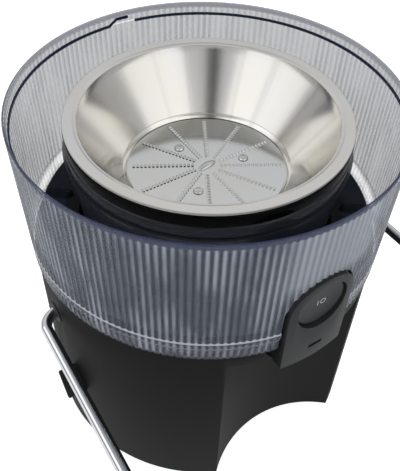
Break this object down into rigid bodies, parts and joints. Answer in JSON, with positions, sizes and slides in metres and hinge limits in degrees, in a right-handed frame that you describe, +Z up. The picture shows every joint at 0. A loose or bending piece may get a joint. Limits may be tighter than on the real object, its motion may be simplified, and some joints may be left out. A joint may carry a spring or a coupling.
{
  "type": "centrifugal juice extractor",
  "caption": "Centrifugal juice extractor without its lid: round motor base, ribbed clear pulp tub, steel grater basket, wire bail and front button.",
  "frame": {"origin": "on the spin axis of motor and basket, at the flat pad in the middle of the underside; the feet reach 3 mm lower", "axes": "+Z up along the spin axis; -Y points to the front, where the glass recess, the control panel and the lowered bail are; the bail pivots on a line along X"},
  "size_m": [0.2262, 0.278, 0.2102],
  "materials": {
    "charcoal_plastic": "fine satin moulding, charcoal",
    "panel_plastic": "satin moulding, mid grey",
    "black_plastic": "glossy black moulding",
    "deck_plastic": "dark grey moulding",
    "clear_plastic": "clear plastic with a blue-grey cast, ribbed outside",
    "basket_steel": "spun stainless steel, bright satin",
    "disc_steel": "stamped stainless steel, satin",
    "chrome_wire": "bright plated wire",
    "plated_steel": "zinc plate",
    "bearing_steel": "ground steel",
    "lamination_steel": "stacked laminations",
    "copper": "enamelled copper",
    "carbon": "pressed carbon",
    "rubber": "soft matt rubber",
    "bush_plastic": "self-lubricating bush plastic",
    "lamp_lens": "dark tinted lens"
  },
  "bodies": {
    "base": {"bottom_cover": "charcoal_plastic", "bowl_ring": "black_plastic", "brush_left": "carbon", "brush_right": "carbon", "control_panel": "panel_plastic", "cord_gland": "rubber", "cover_screw_1": "plated_steel", "cover_screw_2": "plated_steel", "cover_screw_3": "plated_steel", "cover_screw_4": "plated_steel", "foot_1": "rubber", "foot_2": "rubber", "foot_3": "rubber", "foot_4": "rubber", "indicator_lens": "lamp_lens", "juice_bowl": "clear_plastic", "lower_bearing": "bearing_steel", "lower_bracket": "plated_steel", "lower_winding": "copper", "motor_housing": "charcoal_plastic", "motor_stator": "lamination_steel", "pivot_bush_left": "bush_plastic", "pivot_bush_right": "bush_plastic", "shaft_seal": "rubber", "spout": "clear_plastic", "switch_body": "black_plastic", "top_deck": "deck_plastic", "upper_bearing": "bearing_steel", "upper_bracket": "plated_steel", "upper_winding": "copper"},
    "rotor": {"motor_shaft": "bearing_steel", "armature": "lamination_steel", "commutator": "copper", "cooling_fan": "black_plastic", "drive_coupling": "black_plastic"},
    "basket": {"basket_rim": "basket_steel", "basket_cone": "basket_steel", "grater_disc": "disc_steel", "disc_rivet_1": "basket_steel", "disc_rivet_2": "basket_steel", "disc_rivet_3": "basket_steel", "basket_hub": "black_plastic"},
    "tub": {"pulp_tub": "clear_plastic"},
    "bail": {"bail": "chrome_wire", "bail_clip_left": "plated_steel", "bail_clip_right": "plated_steel"},
    "button": {"power_button": "panel_plastic"}
  },
  "joints": [
    {"name": "motor_spin", "type": "hinge", "parent": "base", "child": "rotor", "pos_m": [0, 0, 0.1], "axis": [0, 0, 1], "continuous": true},
    {"name": "basket_lift", "type": "slide", "parent": "rotor", "child": "basket", "axis": [0, 0, 1], "range_m": [0, 0.06]},
    {"name": "tub_lift", "type": "slide", "parent": "base", "child": "tub", "axis": [0, 0, 1], "range_m": [0, 0.06]},
    {"name": "bail_swing", "type": "hinge", "parent": "base", "child": "bail", "pos_m": [0, 0, 0.1022], "axis": [-1, 0, 0], "range_deg": [0, 92]},
    {"name": "button_press", "type": "slide", "parent": "base", "child": "button", "axis": [0, 1, 0], "range_m": [0, 0.0015], "stiffness_N_per_m": 900}
  ]
}
